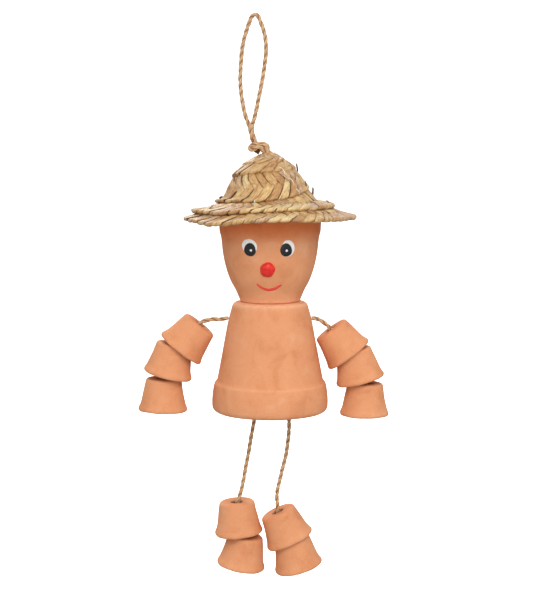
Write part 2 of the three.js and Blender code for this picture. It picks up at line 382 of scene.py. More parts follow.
def straw_material():
    """Flattened dry leaf: each stretch of the plait has its own tone, streaked along its length."""
    n = Nodes("straw", 0.42)
    n.set("Specular IOR Level", 0.5)
    n.set("Sheen Weight", 0.15)
    tone = n.ramp(
        n.attribute("tone"),
        (0.0, srgb(132, 88, 50)),
        (0.06, srgb(208, 166, 112)),
        (0.3, srgb(224, 190, 136)),
        (0.5, srgb(220, 192, 156)),
        (0.68, srgb(236, 206, 148)),
        (0.9, srgb(247, 228, 178)),
        smooth=False,
    )
    streaks = n.noise(n.scaled(n.along, (0.5, 14, 1)), 5, 4, 0.6, 0.2)
    light = n.ramp(streaks, (0.3, srgb(206, 190, 166)), (0.5, srgb(246, 240, 230)), (0.7, (1, 1, 1)))
    straw = n.mix(0.85, tone, light, "MULTIPLY")
    bands = n.noise(n.scaled(n.along, (0.5, 2.6, 1)), 3.6, 3, 0.6, 0.3)
    shade = n.ramp(bands, (0.34, srgb(190, 142, 92)), (0.5, srgb(236, 222, 200)), (0.62, (1, 1, 1)))
    straw = n.mix(0.75, straw, shade, "MULTIPLY")
    stains = n.ramp(n.noise(n.along, 2.2, 4, 0.6), (0.3, srgb(176, 132, 84)), (0.5, (1, 1, 1)))
    straw = n.mix(0.5, straw, stains, "MULTIPLY")
    # Painted shade: patchy dark lines along the edges of the strips
    edge_shade = n.ramp(n.attribute("edge"), (0.3, (1, 1, 1)), (0.95, srgb(128, 84, 44)))
    patchy = n.ramp(n.noise(n.along, 5, 2), (0.4, (0, 0, 0)), (0.6, (1, 1, 1)))
    straw = n.mix(n.maths("MULTIPLY", patchy, 0.75), straw, edge_shade, "MULTIPLY")
    n.set("Base Color", straw)
    folds = n.bump(bands, 0.0005, 0.7)
    ribs = n.bump(n.noise(n.scaled(n.along, (0.25, 20, 1)), 6, 3), 0.00016, 0.8, folds)
    n.bump(n.noise(n.scaled(n.along, (3, 22, 1)), 16, 3), 0.00006, 0.6, ribs)
    return n.material


# Dark brown, in place of the shade inside the hat and between its strands: painted shade
def shade_sheet_material():
    n = Nodes("straw_shade", 0.9)
    n.set("Base Color", n.ramp(n.noise(n.here, 700, 3), (0.35, srgb(70, 42, 20)), (0.7, srgb(112, 76, 42))))
    n.bump(n.noise(n.here, 1500, 3), 0.0002)
    return n.material


def cord_material():
    """Twisted dry grass: pale ridges, painted shade in the grooves between strands, and loose fibres along
    each strand.
    """
    n = Nodes("twine", 0.62)
    n.set("Sheen Weight", 0.2)
    fibres = n.noise(n.scaled(n.along, (0.5, 12, 1)), 6, 4, 0.6, 0.3)
    twine = n.ramp(
        fibres,
        (0.28, srgb(178, 128, 80)),
        (0.45, srgb(214, 172, 124)),
        (0.62, srgb(234, 202, 158)),
        (0.8, srgb(248, 228, 194)),
    )
    patches = n.ramp(n.noise(n.along, 1.6, 3), (0.35, srgb(214, 174, 132)), (0.6, (1, 1, 1)))
    twine = n.mix(0.55, twine, patches, "MULTIPLY")
    ridge = n.attribute("tone")
    # Painted shade in the grooves between the strands
    groove_shade = n.mix(1.0, twine, srgb(168, 120, 84), "MULTIPLY")
    n.set("Base Color", n.mix(ridge, groove_shade, twine))
    ribs = n.bump(n.noise(n.scaled(n.along, (0.3, 16, 1)), 7, 3), 0.00025, 0.9)
    n.bump(n.noise(n.scaled(n.along, (2, 20, 1)), 20, 2), 0.00008, 0.6, ribs)
    return n.material


def paint_material(name, dark, light, roughness):
    """Brushed craft paint, a little uneven over the clay's grain."""
    n = Nodes(name, roughness)
    n.set("Base Color", n.ramp(n.noise(n.here, 900, 3), (0.35, dark), (0.65, light)))
    brush = n.bump(n.noise(n.scaled(n.here, (1, 1, 2.5)), 700, 3), 0.0001, 0.6)
    n.bump(n.noise(n.here, 2600, 3), 0.00005, 0.5, brush)
    return n.material


TERRACOTTA = terracotta_material("terracotta")
# The head's clay, with painted shade under the hat's brim
BRIM_SHADED_TERRACOTTA = terracotta_material("head_terracotta_brim_shade", HEAD_HIGH[2] * MM - 0.009)
STRAW = straw_material()
SHADE_SHEET = shade_sheet_material()
CORD = cord_material()
RED = paint_material("red_paint", srgb(226, 34, 26), srgb(240, 54, 42), 0.42)
CORAL = paint_material("coral_paint", srgb(226, 62, 48), srgb(240, 84, 66), 0.6)
WHITE = paint_material("white_paint", srgb(250, 250, 247), srgb(255, 254, 252), 0.28)
BLACK = paint_material("black_paint", srgb(14, 15, 17), srgb(26, 27, 30), 0.45)


# Camera


def add_camera():
    """The photograph's viewpoint: from the front, a little above the middle of the figure."""
    distance, elevation, aim = 0.8, math.radians(5.7), Vector((0.0075, 0, -0.1926))
    data = bpy.data.cameras.new("camera")
    data.lens = 69.26  # the picture is 0.416 m high at the figure
    data.sensor_width = 36
    camera = in_scene("camera", data)
    camera.location = aim + distance * Vector((0, -math.cos(elevation), math.sin(elevation)))
    camera.rotation_euler = (math.pi / 2 - elevation, 0, 0)
    bpy.context.scene.camera = camera


# Cords: the routes are the CAD model's, in millimetres as x, z and, off the middle plane, y

CORD_DIAMETER = 3.0
MAIN_CORD_DIAMETER = 4.4  # the loop's two ends, twisted together
PITCH = 10.6  # along one full turn of a strand
LOOP_TWIST_Y = 1.7
LOOP_ROUTE = [
    (-2.4, -LOOP_TWIST_Y, -83.2), (-3.4, -LOOP_TWIST_Y, -77), (-7.4, -0.6, -65.4), (-10, 0, -50.8),
    (-10.3, 0, -35.3), (-8.4, 0, -17.7), (-4.4, 0, -4.2), (-2.2, 0, 0.2), (0, 0, 1.5), (1.7, 0, 0.1),
    (3.4, 0, -3.4), (6.3, 0, -12), (7.2, 0, -23), (5.7, 0, -36), (2.6, 0, -53), (-0.6, 0.8, -67.5),
    (-3.1, LOOP_TWIST_Y, -77), (-2.4, LOOP_TWIST_Y, -83.2),
]
# The knot above the hat: the neck's end, the turn round it, the turn over it and the way into the hat
KNOT_ROUTES = [
    [
        (-3, 0, -73), (-2.9, 0, -77), (-2, 0, -81), (-0.9, 0, -84.4), (0.8, 1.4, -87.4),
        (3.4, 1.5, -89.2), (6, 0.4, -90.4),
    ],
    [
        (3.5, 2.6, -89), (-0.5, 3.2, -88), (-3.1, 1.6, -88), (-3.7, -0.8, -89.6), (-2.4, -2.7, -90.2),
        (0.6, -3.4, -89), (3.8, -3, -87.9), (6.8, -2, -87.8), (8.2, 0.2, -88.6), (6.6, 2.2, -89.6),
    ],
    [
        (-2.8, 0.6, -90), (-3.4, -1.4, -87.6), (-1.2, -2.4, -86.7), (2.2, -1.6, -86.6),
        (5.2, -0.6, -86.1), (7.6, 0.2, -87.1), (8.4, 0.6, -89.2), (7.2, 0.8, -91),
    ],
    [(3.8, 0, -88.6), (5.4, -2, -89.8), (7.6, -2.6, -91.4), (9.6, -2, -93.2), (10.4, -1.2, -95)],
]
KNOT_THICKNESSES = (4.3, 3.3, 2.9, 4.9)
LEG_ROUTES = {
    "right": [(5.6, -220), (2.9, -250), (-0.5, -275), (-5.6, -305), (-10.8, -332), (-13.6, -340.5)],
    "left": [
        (14.4, -220), (18.6, -245), (22.6, -270), (23.4, -287), (21.6, -303), (18, -319), (15, -333),
        (15.9, -347.6),
    ],
}
WALL_X = {"right": -18.55, "left": 38.55}  # the torso's outside at the shoulder holes
SHOULDER_Z = -207.3
ARM_HOLE_R = 3.1
ARM_ROUTES = {
    "right": [(-19.35, -207.3), (-24.55, -208.3), (-31.05, -208.4), (-38, -210.3), (-40, -213.1)],
    "left": [(39.35, -207.3), (43.55, -208.1), (48.15, -210.9), (51.5, -213.9), (53.3, -216.5)],
}


def twisted(shape, route, diameter=CORD_DIAMETER, pitch=PITCH, step=0.6, start=0.0, hairs=0.02):
    """Two strands of grass laid round each other along a route. Returns the route's even points."""
    path = even_curve(route, step)
    normal, binormal, along = path_frames(path)
    radius = diameter / 2
    for ply in range(2):
        swell = 1 + 0.09 * np.sin(along / 3.1 + 9 * ply + start) + 0.05 * np.sin(along / 1.27 + start)
        angle = TAU * along / pitch + math.pi * ply + start
        outward = np.cos(angle)[:, None] * normal + np.sin(angle)[:, None] * binormal
        centre = path + 0.46 * radius * outward
        sideways = np.cross(tangents(centre), outward)
        section = oval(0.56 * radius, 0.74 * radius, 12, 0.05, start)
        # Painted shade: darker where the strand turns in towards the other one
        groove_shade = np.clip(0.62 + 0.75 * section[:, 0] / section[:, 0].max(), 0, 1)
        tone = np.broadcast_to(groove_shade, (len(path), len(groove_shade)))
        sweep(shape, centre, section, tone, (outward, sideways), swell)
    for _ in range(int(len(path) * hairs)):
        add_hair(shape, path, normal, binormal, radius)
    return path


def add_hair(shape, path, normal, binormal, radius):
    """A loose fibre that leaves the cord at a slant."""
    i = int(random.integers(2, len(path) - 2))
    angle = random.uniform(0, TAU)
    out = math.cos(angle) * normal[i] + math.sin(angle) * binormal[i]
    ahead = (path[i + 1] - path[i - 1]) * random.choice([-1, 1])
    ahead /= np.linalg.norm(ahead)
    reach = random.uniform(0.5, 1.2)
    length = random.uniform(1.5, 3.5)
    points = [path[i] + out * radius * 0.7]
    points.append(points[0] + ahead * length * 0.5 + out * reach * 0.35)
    points.append(points[0] + ahead * length + out * reach)
    fibre = even_curve(points, 0.5)
    sweep(shape, fibre, oval(0.09, 0.06, 5), 0.9, None, np.linspace(1, 0.3, len(fibre)))


def lump_knot(shape, centre, axis_matrix, radius, half_height, thickness):
    """A pulled-tight round knot: one strand pair wound as a trefoil."""
    t = np.linspace(0, TAU, 91)[:-1]
    ring = np.column_stack(
        [
            (2 + np.cos(3 * t)) * np.cos(2 * t) / 3 * (radius - thickness / 2),
            (2 + np.cos(3 * t)) * np.sin(2 * t) / 3 * (radius - thickness / 2),
            np.sin(3 * t) * (half_height - thickness / 2),
        ]
    )
    ring = ring @ axis_matrix[:3, :3].T + centre
    twisted(shape, [tuple(p) for p in ring[::3]] + [tuple(ring[0])], thickness, 7.5, 0.7, 0.4, 0.01)


def add_cord(name, body, node, route, *size, **look):
    """A twisted cord that is a piece of its own. Returns the piece and its route's even points."""
    shape = Shape()
    path = twisted(shape, route, *size, **look)
    return place(shape.to_object(name, CORD), body, "cord", node), path


def add_round_knot(name, node, body, thickness=3.2, matrix=np.eye(4), size=None):
    """A knot where the CAD model has one, and as large unless a radius and half height are given."""
    low, high = box_mm(node)
    radius, _, half_height = (high - low) / 2
    if size:
        radius, half_height = size
    shape = Shape()
    lump_knot(shape, (low + high) / 2, matrix, radius, half_height, thickness)
    place(shape.to_object(name, CORD), body, "cord", node)


def add_loop():
    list(add_cord("loop_cord", "hook_loop", "hanging_loop", LOOP_ROUTE))
    knot = Shape()
    for number, (route, thickness) in enumerate(zip(KNOT_ROUTES, KNOT_THICKNESSES)):
        twisted(knot, route, thickness, 12, 0.5, 0.8 + number, 0.06)
    place(knot.to_object("loop_knot", CORD), "hook_loop", "cord", "hanging_knot")
    # A dark lump in the knot's hollow: painted shade between the strands
    knot_shade = Shape()
    inside = [(-0.6, 0.2, -90), (1.1, 0.2, -91.2), (2.8, 0.2, -92.2)]
    sweep(knot_shade, even_curve(inside, 0.5), oval(1.75, 1.75, 12), 0.5)
    place(knot_shade.to_object("loop_knot_shade", SHADE_SHEET), "hook_loop", "cord")


def add_main_cord():
    low, high = box_mm("main_cord")
    x, y, z = middle_mm("main_cord")
    route = [(x, y, height) for height in (high[2] + 0.2, z, low[2])]
    add_cord("main_cord_pair", "main_string", "main_cord", route, MAIN_CORD_DIAMETER, 14)
    add_round_knot("main_stopper_lump", "main_stopper_knot", "main_string", 4.0)


def add_arm_cord(side):
    outward = -1 if side == "right" else 1
    wall = WALL_X[side]
    low, high = box_mm(f"{side}_shoulder_knot")
    inset = 3.4  # from the knot's inner end to its middle
    knot_x = low[0] + inset if outward > 0 else high[0] - inset
    inside = Shape()
    sideways = np.array([[0, 0, outward, 0], [0, 1, 0, 0], [-outward, 0, 0, 0], [0, 0, 0, 1]], float)
    lump_knot(inside, np.array([knot_x, 0, SHOULDER_Z]), sideways, 4.8, 3.2, 3.0)
    stub = [(knot_x, 0, SHOULDER_Z), ((knot_x + wall) / 2, 0, SHOULDER_Z), (wall, 0, SHOULDER_Z)]
    twisted(inside, stub, CORD_DIAMETER, PITCH, 0.5)
    knot = inside.to_object(f"{side}_shoulder_tie", CORD)
    place(knot, f"{side}_shoulder", "cord", f"{side}_shoulder_knot")
    owners = (f"{side}_arm_string", f"{side}_arm_cord")
    add_cord(f"{side}_arm_twine", *owners, ARM_ROUTES[side], 3.1, 12, 0.5, 1.2, 0.05)


def add_leg_cord(side):
    owners = (f"{side}_leg_string", f"{side}_leg_cord")
    start = 2.0 if side == "left" else 0.6
    leg = add_cord(f"{side}_leg_twine", *owners, LEG_ROUTES[side], start=start)
    add_round_knot(f"{side}_hip_tie", f"{side}_hip_knot", f"{side}_hip")


# Pots


def outline(points, per_span=5):
    """A smooth closed outline through [radius, z] pairs, evenly spaced."""
    length = distances(even_curve(points, 1.0, True))[-1]
    path = even_curve(points, length / (per_span * len(points)), True)
    return path[:-1, [0, 2]]


def nearness(profile, places):
    """How close each point of an outline is to the nearest of some (radius, z, reach)."""
    near = np.zeros(len(profile))
    for place_r, place_z, reach in places:
        off = np.hypot(profile[:, 0] - place_r, profile[:, 1] - place_z)
        near = np.maximum(near, np.exp(-((off / reach) ** 2)))
    return np.append(near, near[0])


def turned(points, sides, wobble, painted_light_and_wear, dark=(), per_span=5):
    """A thrown pot: its outline turned about Z, a little out of true, painted lighter at some places
    (painted light, and wear) and with painted shade in its hollows.
    """
    profile = outline(points, per_span)
    angle = np.arange(sides) * TAU / sides
    r, z = profile[:, 0][:, None], profile[:, 1][:, None]
    span = z.max() - z.min()
    share = (z.max() - z) / span
    phases = random.uniform(0, TAU, 6)
    radius = r + wobble * share * (
        np.sin(2 * angle + phases[0]) + 0.5 * np.sin(3 * angle + phases[1] + 2 * share)
    )
    radius = radius + 0.3 * wobble * np.sin(5 * angle + phases[2] + 9 * share)
    height = z + 0.5 * wobble * np.sin(2 * angle + phases[3]) * share
    height = height + 0.25 * wobble * np.sin(7 * angle + phases[4]) * share
    x, y = radius * np.cos(angle), radius * np.sin(angle)
    rings = np.stack([x, y, np.broadcast_to(height, x.shape)], axis=2)
    rings = np.concatenate([rings, rings[:1]])
    along = distances(np.vstack([profile, profile[:1]]))
    tone, edge = nearness(profile, painted_light_and_wear), nearness(profile, dark)
    return Shape().grid(rings, along, caps=False, tone=tone, edge=edge)


POT_KNOT_R = 5.6
POT_KNOT_HALF_HEIGHT = 3.4
SMALL_POT = [
    (4.3, -3.0), (4.35, -0.9), (4.9, -0.2), (6.4, 0), (10, 0), (11.7, -0.25), (12.5, -1.05),
    (12.8, -2.5), (13.8, -8.5), (14.95, -14.5), (15.85, -18.2), (16.65, -20), (17.05, -21.2),
    (16.9, -22.3), (16.2, -22.95), (15.2, -22.8), (14.6, -21.6), (13.9, -17.5), (12.7, -11.5),
    (11.5, -6.0), (10.6, -4.2), (9.0, -3.6), (5.2, -3.6),
]


def add_small_pot(name, body, node, knot_node):
    matrix = pot_matrix(node)
    turn = random.uniform(0, TAU)
    spin = np.eye(4)
    spin[:2, :2] = [[math.cos(turn), -math.sin(turn)], [math.sin(turn), math.cos(turn)]]
    placed = matrix @ spin
    # Lighter round the hole's rim; painted shade down inside the hole
    shape = turned(SMALL_POT, 88, 0.3, ((5, -0.3, 0.7),), ((4.6, -3.2, 2.4),), 3)
    place(shape.to_object(name, TERRACOTTA, placed), body, "terracotta", node)
    add_round_knot(f"{name}_tie", knot_node, body, 3.2, placed, (POT_KNOT_R, POT_KNOT_HALF_HEIGHT))
    return matrix


def add_row(side, limb, names):
    """The small pots of an arm or leg, their knots and the cord from each to the next."""
    row = f"{side}_{limb}"
    matrices = {}
    for part in names:
        nodes = (f"{row}_pot_{part}", f"{row}_knot_{part}")
        matrices[part] = add_small_pot(f"{row}_{part}_pot", f"{row}_{part}", *nodes)
    for above, below in zip(names[:-1], names[1:]):
        first, second = matrices[above], matrices[below]
        # From under the first pot's knot to the second one's knot, each along its own pot's axis
        depths = ((first, -11.6), (first, -14.2), (second, 2.5), (second, -3.4))
        route = [tuple(m[:3, 3] + d * m[:3, 2]) for m, d in depths]
        owners = (f"{row}_{below}", f"{row}_cord_below_{above}")
        add_cord(f"{row}_twine_below_{above}", *owners, route, CORD_DIAMETER, PITCH, 0.5, 1.0)


def head_outline():
    rim, bottom = HEAD_HIGH[2], HEAD_LOW[2]
    return [
        (32.6, rim), (34.2, rim - 0.3), (35.2, rim - 1.6), (35.5, rim - 5), (35.45, rim - 11),
        (35.1, rim - 16), (34.15, rim - 19.6), (33.75, rim - 23), (33.0, rim - 30), (31.3, rim - 38.8),
        (28.1, rim - 48.8), (23.95, rim - 56.9), (21.8, bottom + 2.3), (21, bottom + 0.45),
        (20.5, bottom - 0.1), (19.6, bottom - 0.22), (12, bottom - 0.15), (5.0, bottom + 0.2),
        (4.6, bottom + 1.5), (4.6, bottom + 4.5), (6.0, bottom + 5.3), (14, bottom + 5.6),
        (20.4, bottom + 10.8), (24.6, bottom + 19.2), (27.6, bottom + 31.2), (29.4, bottom + 45.2),
        (30.8, bottom + 55), (30.8, rim - 1.5), (31.4, rim - 0.3),
    ]


def outer_radius(points, height):
    """The largest radius of a pot's outline at a height."""
    profile = outline(points)
    pairs = list(zip(profile, np.roll(profile, -1, axis=0)))
    found = [
        a[0] + (b[0] - a[0]) * (height - a[1]) / (b[1] - a[1])
        for a, b in pairs
        if min(a[1], b[1]) <= height < max(a[1], b[1])
    ]
    return max(found)


class HeadSurface:
    """Puts paint on the front of the head: x and z as seen from the front, and a height above it."""

    def __init__(self, points):
        heights = np.linspace(HEAD_LOW[2] + 1, HEAD_HIGH[2] - 1, 120)
        self.heights = heights
        self.radii = np.array([outer_radius(points, h) for h in heights])

    def at(self, x, z, height):
        radius = np.interp(z, self.heights, self.radii) + height
        return np.stack([x, -np.sqrt(np.maximum(radius**2 - (x - AXIS_X) ** 2, 1)), z], axis=-1)


def add_dab(name, surface, material, centre, half, turn, height=0.28, edge=0.12):
    """A rounded patch of paint on the head."""
    around, ripple, lift = 40, 0.04, 0.05
    angle = np.arange(around) * TAU / around
    phases = random.uniform(0, TAU, 3)
    out = 1 + ripple * (np.sin(2 * angle + phases[0]) + 0.6 * np.sin(3 * angle + phases[1]))
    shares = np.concatenate([np.linspace(0.02, 0.8, 6), [0.9, 0.97, 1.0]])
    grid = []
    for share in shares:
        x, z = half[0] * share * out * np.cos(angle), half[1] * share * out * np.sin(angle)
        px = centre[0] + x * math.cos(turn) - z * math.sin(turn)
        pz = centre[1] + x * math.sin(turn) + z * math.cos(turn)
        dome = lift + (height - lift) * math.sqrt(max(0.0, 1 - share**6))
        grid.append(surface.at(px, pz, dome))
    grid.append(surface.at(px, pz, -edge))
    rings_array = np.array(grid)[:, ::-1]
    shape = Shape().grid(rings_array, np.linspace(0, half[0], len(grid)))
    return shape.to_object(name, material)


def add_face(head_points):
    surface = HeadSurface(head_points)
    # The white's middle and half sizes, the pupil's middle, the highlight's, and the turn of it all
    eyes = {
        "right": ((-3.9, -155.7), (5.0, 5.3), (-3.6, -157.6), (-3.0, -158.1), 0.25),
        "left": ((21.75, -156.9), (4.7, 5.5), (20.75, -157.8), (21.1, -158.3), -0.1),
    }
    for side, (white_at, white_size, pupil_at, shine_at, turn) in eyes.items():
        white = add_dab(f"{side}_eye_white", surface, WHITE, white_at, white_size, turn)
        pupil = add_dab(f"{side}_eye_pupil", surface, BLACK, pupil_at, (4.2, 4.5), turn, 0.5, 0.1)
        shine = add_dab(f"{side}_eye_shine", surface, WHITE, shine_at, (0.9, 0.9), 0, 0.68, 0.1)
        for piece in (white, pupil, shine):
            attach(piece, "head")
    centre_line = even_curve(
        [(0.7, 0, -181.0), (4.5, 0, -183.9), (8.9, 0, -185.2), (13.3, 0, -184.3), (17.7, 0, -181.6)], 0.4
    )
    share = np.linspace(0, 1, len(centre_line))
    half_width = 1.06 * np.minimum(1, 0.45 + 3.2 * np.minimum(share, 1 - share))
    tangent = tangents(centre_line)
    normal = np.column_stack([-tangent[:, 2], tangent[:, 0]])
    grid = []
    section = ((-1, -0.1), (-1, 0.08), (-0.6, 0.2), (0, 0.25), (0.6, 0.2), (1, 0.08), (1, -0.1))
    for across, height in section:
        x = centre_line[:, 0] + normal[:, 0] * half_width * across
        z = centre_line[:, 2] + normal[:, 1] * half_width * across
        grid.append(surface.at(x, z, height))
    rings = np.stack(grid, axis=1)
    mouth = Shape().grid(rings, share * 20).to_object("mouth", CORAL)
    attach(mouth, "head")
    add_nose(surface)


def add_nose(surface):
    """A thick blob of red paint, squarish, pulled to a blunt point near its top."""
    middle_x, _, middle_z = middle_mm("nose")
    around, half_width, half_height, depth = 56, 5.2, 5.1, 3.4
    angle = np.arange(around) * TAU / around
    out = 1 + 0.03 * np.cos(5 * angle - 0.4) + 0.03 * np.cos(2 * angle - 2.2)
    shares = np.concatenate([[0.02], np.linspace(0.1, 0.9, 11), [0.95, 0.985, 1.0, 1.0]])
    grid = []
    for i, share in enumerate(shares):
        x = middle_x + half_width * share * out * np.cos(angle)
        z = middle_z + half_height * share * out * np.sin(angle)
        dome = depth * (1 - share**2.6) ** 0.62
        across, up = x - middle_x, z - middle_z
        # Brush marks where the paint was pulled off: a low peak with two dimples under it
        peak = 0.7 * np.exp(-(((across + 1.2) ** 2 + (up - 1.8) ** 2) / 3.2))
        dimples = 0.35 * np.exp(-(((across + 0.4) ** 2 + (up + 1.5) ** 2) / 1.5))
        dimples = dimples + 0.3 * np.exp(-(((across - 2.4) ** 2 + (up + 0.6) ** 2) / 1.6))
        height = dome + (peak - dimples) * (1 - share)
        if i == len(shares) - 1:
            height = np.full(around, -0.1)
        grid.append(surface.at(x, z, height))
    rings = np.array(grid)[:, ::-1]
    piece = Shape().grid(rings, np.linspace(0, 8, len(grid))).to_object("nose_blob", RED)
    place(piece, "head", "nose_paint", "nose")


def add_head():
    points = head_outline()
    # Painted light round the base, where the head sits on the torso
    shape = turned(points, 144, 0.12, ((20.8, HEAD_LOW[2], 2.6),))
    place(shape.to_object("head_bowl", BRIM_SHADED_TERRACOTTA, on_axis()), "head", "terracotta", "head_pot")
    add_face(points)


def torso_outline():
    top, mouth = TORSO_HIGH[2], TORSO_LOW[2]
    return [
        (4.6, top - 4.5), (4.6, top - 0.8), (5.4, top), (14, top), (19, top), (22, top),
        (23.8, top - 0.2), (25.3, top - 1.05), (26.4, top - 2.6), (27, top - 4.8), (27.6, top - 7),
        (28.7, top - 10.8), (32.2, top - 29), (35.4, top - 46), (36.8, mouth + 24.2),
        (37.3, mouth + 21.9), (38.7, mouth + 20.4), (39.6, mouth + 17.6), (40.6, mouth + 10),
        (40.7, mouth + 5), (40.4, mouth + 2.4), (39.2, mouth + 0.7), (37.4, mouth), (35.6, mouth + 0.3),
        (34.4, mouth + 1.8), (33.8, mouth + 8), (33.4, mouth + 17), (32.7, mouth + 21.5),
        (28.6, mouth + 42), (24.8, mouth + 60), (21.9, top - 7.6), (20.2, top - 5.8), (17, top - 5.5),
        (6, top - 5.5),
    ]


def add_torso():
    top, mouth = TORSO_HIGH[2], TORSO_LOW[2]
    # Painted light on the rounded shoulder and a painted highlight along the ledge; painted shade down the
    # hole in the top
    painted_light_and_wear = ((22, top, 2), (25.5, top - 0.8, 2.4), (39.4, mouth + 20.6, 0.8))
    shape = turned(torso_outline(), 160, 0.14, painted_light_and_wear, ((4.6, top - 3, 2.5),))
    torso = shape.to_object("torso_flowerpot", TERRACOTTA, on_axis())
    drill = Shape()
    line = np.column_stack([np.linspace(-60, 60, 5), np.zeros(5), np.full(5, SHOULDER_Z)])
    sweep(drill, line, oval(ARM_HOLE_R, ARM_HOLE_R, 32))
    cutter = drill.to_object("drill", TERRACOTTA, on_axis())
    cut = torso.modifiers.new("holes", "BOOLEAN")
    cut.operation = "DIFFERENCE"
    cut.solver = "EXACT"
    cut.object = cutter
    bpy.context.view_layer.update()
    done = bpy.data.meshes.new_from_object(torso.evaluated_get(bpy.context.evaluated_depsgraph_get()))
    torso.modifiers.clear()
    torso.data = done
    bpy.data.objects.remove(cutter)
    place(torso, "torso", "terracotta", "torso_pot")


# Hat

HAT_PROFILE = [
    (2.6, -93.4), (5.2, -94.4), (8.3, -96.2), (15.2, -101.2), (20.4, -106.8), (23.6, -112),
    (27.2, -118.6), (30.4, -125.2), (32.6, -127.4), (37.4, -129.0), (45.1, -132.6), (52.6, -136.1),
    (60.6, -139.6),
]
# The outer edge of the spiral braid: turns made, starting at the figure's left, and the radius there
SPIRAL = [
    (0, 11), (0.25, 14.4), (0.5, 15.8), (0.75, 17), (1, 18.2), (1.25, 20), (1.5, 22.4), (1.75, 24.2),
    (2, 25.6), (2.1, 27.6), (2.25, 31), (2.5, 36.6), (2.75, 39.4), (3, 42.2), (3.25, 48.4), (3.5, 52.9),
    (3.75, 56.2), (4, 58.8), (4.25, 59.4), (4.5, 59.6), (4.72, 58.6),
]
CROWN_LEAN = 2.3  # the crown leans towards the figure's right, and its apex and brim don't
HOLE_U = 3.2  # the braid starts at the edge of the hole for the cord
BRAID_HALF = 11.6
OVERLAP = 2.6  # of a row under the one before it
STRANDS = 5
FOLD_PITCH = 7.5  # near an edge of the braid, from one strand's fold to the next
FOLD_DEPTH = 0.9  # how far a fold stands out past the flat of the braid
FOLD_HALF = 1.3  # half the length of strand that a fold takes up
FLAT = BRAID_HALF - FOLD_DEPTH
QUARTER = FLAT + FOLD_HALF
SLOPE = math.atan(4 * QUARTER / (STRANDS * FOLD_PITCH))  # of a strand against the braid's length
LEAF_HALF = 1.03 * math.cos(SLOPE) * 2 * QUARTER / STRANDS
LEAF_THICK = 0.42
LAYER = 0.62  # from the braid's middle to its upper and its lower layer
RAMP = 2.6  # how far a strand takes to pass from one layer to the other
HIDDEN = 5.0  # a strand changes tone this far before it comes up between the others
BRAID_END = 3.0  # left bare at both ends of the braid


class HatSurface:
    """The hat's base surface, by distance down its outline from the apex."""

    def __init__(self):
        curve = even_curve(HAT_PROFILE, 0.4)
        self.r, self.z = curve[:, 0], curve[:, 2]
        self.u = distances(curve) + 3
        slope_r, slope_z = np.gradient(self.r, self.u), np.gradient(self.z, self.u)
        self.nr, self.nz = smoothed(-slope_z, 15), smoothed(slope_r, 15)

    def distance(self, radius):
        return np.interp(radius, self.r, self.u)

    def at(self, turns, u, lift):
        r = np.interp(u, self.u, self.r)
        z = np.interp(u, self.u, self.z)
        nr, nz = np.interp(u, self.u, self.nr), np.interp(u, self.u, self.nz)
        size = np.hypot(nr, nz)
        nr, nz = nr / size, nz / size
        angle = -TAU * turns
        radius = r + lift * nr
        z = z + brim_wave(turns, r)
        lean = CROWN_LEAN * np.interp(z, [-127, -118, -112, -97, -92.4], [0, 0.65, 1, 0.9, 0])
        middle = AXIS_X - lean
        point = np.stack([middle + radius * np.cos(angle), radius * np.sin(angle), z + lift * nz], -1)
        normal = np.stack([nr * np.cos(angle), nr * np.sin(angle), nz], -1)
        return point, normal


class Braid:
    """The plait, sewn in a spiral: along it, turns made, its middle's distance from the apex, its width."""

    def __init__(self, surface):
        self.surface = surface
        self.turns = np.linspace(0, SPIRAL[-1][0], 4000)
        knots = np.array(SPIRAL)
        edge = surface.distance(smoothed(np.interp(self.turns, knots[:, 0], knots[:, 1]), 201))
        before = np.interp(self.turns - 1, self.turns, edge)
        # Stretched where that is needed to reach under the row before
        stretched = np.where(self.turns > 1, (edge - before + OVERLAP) / 2, 0)
        self.half = np.maximum(np.minimum(BRAID_HALF, (edge - HOLE_U) / 2), stretched)
        self.middle = edge - self.half
        path, _ = surface.at(self.turns, self.middle + 0.7 * self.half, 1.5)
        self.along = distances(path)
        self.length = self.along[-1]

    def at(self, along, across, height):
        """A point by its distance along the braid, across it from -1 to 1, and above its middle."""
        turns, middle, half = (
            np.interp(along, self.along, values) for values in (self.turns, self.middle, self.half)
        )
        lift = lift_of(across, turns) + height
        return self.surface.at(turns, middle + across * half, lift)[0]


def lift_of(across, turns):
    """How far a row stands off the hat: its inner edge lies under the row before it."""
    share = np.clip((across + 1) / 2, 0, 1)
    lip = np.interp(turns, [1.9, 2.15, 2.5, 3.5, 4.0, 4.45, 4.72], [1.3, 2.4, 3.3, 3.3, 1.8, 0.7, 0.2])
    tucked = np.interp(turns, [0.8, 1.2], [0.0, 1.3]) * np.clip(1 - share / 0.3, 0, 1) ** 2
    sunk = np.interp(turns, [4.35, 4.72], [0.0, -1.2])
    return -0.1 + lip * share**1.6 - tucked + sunk


def brim_wave(turns, radius):
    """The brim dips at the figure's front right and lifts beside it."""
    place_round = np.mod(turns, 1)
    waves = [(0.24, 0.06, 0.9), (0.36, 0.05, -2.4), (0.5, 0.07, 1.5), (0.78, 0.12, -0.8), (0.95, 0.1, 0.7)]
    height = 0.0
    for middle, width, rise in waves:
        off = np.abs(place_round - middle)
        height = height + rise * np.exp(-((np.minimum(off, 1 - off) / width) ** 2))
    return height * np.clip((radius - 38) / 22, 0, 1) ** 1.5


